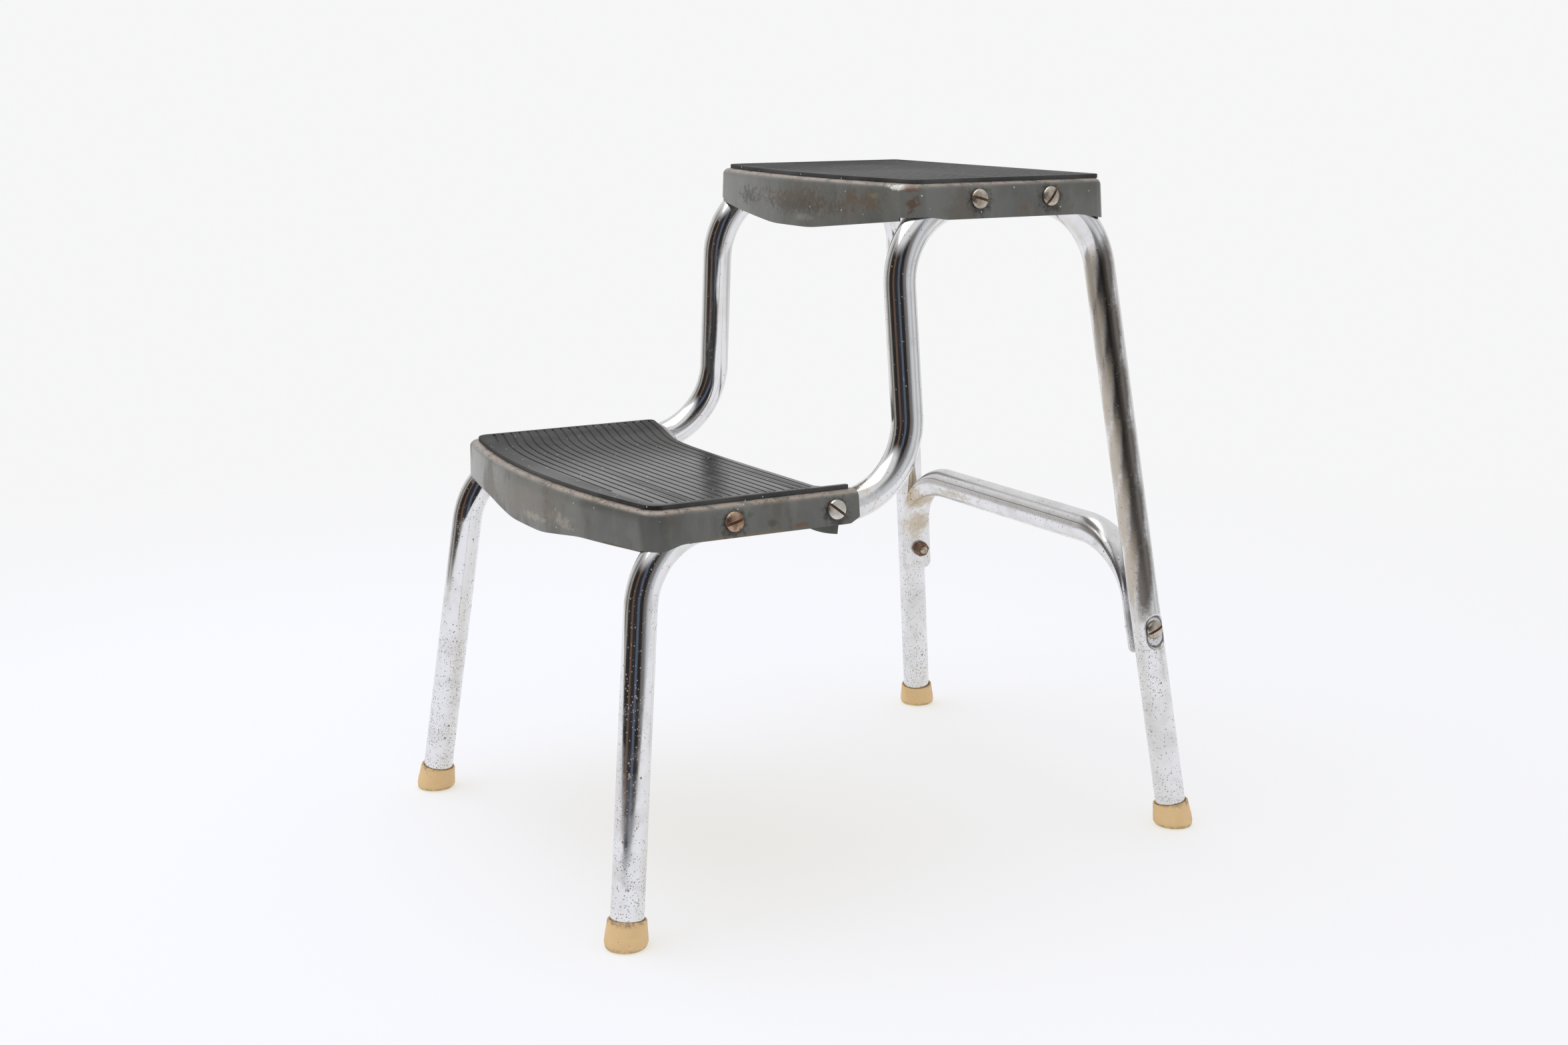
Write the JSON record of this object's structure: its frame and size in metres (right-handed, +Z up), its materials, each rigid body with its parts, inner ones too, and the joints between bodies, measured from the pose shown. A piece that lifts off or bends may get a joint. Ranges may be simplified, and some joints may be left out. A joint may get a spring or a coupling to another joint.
{
  "type": "step stool",
  "caption": "Rigid two-step stool of bent chromed tube: a lower and an upper sheet-metal tread with ribbed rubber mats, a rear brace and rubber feet.",
  "frame": {"origin": "centre of the stool's outline on the floor, at the level of the feet's soles", "axes": "+X to the user's right when they step on, -Y the front with the lower tread, +Y the back with the upper tread, +Z up"},
  "size_m": [0.381, 0.48, 0.4814],
  "materials": {
    "chromed_tube": "bright chrome with fine pits and worn patches",
    "grey_enamel": "glossy baked enamel, rusty at worn edges",
    "black_rubber": "ribbed, with a dull shine",
    "tan_rubber": "smooth and matt, amber with age",
    "screw_steel": "plated, dulled and slightly rusty",
    "nut_steel": "rusty plated steel"
  },
  "bodies": {
    "root": {"brace_nut_left": "nut_steel", "brace_nut_right": "nut_steel", "brace_screw_left": "screw_steel", "brace_screw_right": "screw_steel", "foot_front_left": "tan_rubber", "foot_front_right": "tan_rubber", "foot_rear_left": "tan_rubber", "foot_rear_right": "tan_rubber", "lower_mat": "black_rubber", "lower_tread": "grey_enamel", "lower_tread_front_nut_left": "nut_steel", "lower_tread_front_nut_right": "nut_steel", "lower_tread_front_screw_left": "screw_steel", "lower_tread_front_screw_right": "screw_steel", "lower_tread_rear_nut_left": "nut_steel", "lower_tread_rear_nut_right": "nut_steel", "lower_tread_rear_screw_left": "screw_steel", "lower_tread_rear_screw_right": "screw_steel", "rear_brace": "chromed_tube", "side_frame_left": "chromed_tube", "side_frame_right": "chromed_tube", "upper_mat": "black_rubber", "upper_tread": "grey_enamel", "upper_tread_front_nut_left": "nut_steel", "upper_tread_front_nut_right": "nut_steel", "upper_tread_front_screw_left": "screw_steel", "upper_tread_front_screw_right": "screw_steel", "upper_tread_rear_nut_left": "nut_steel", "upper_tread_rear_nut_right": "nut_steel", "upper_tread_rear_screw_left": "screw_steel", "upper_tread_rear_screw_right": "screw_steel"}
  },
  "joints": []
}
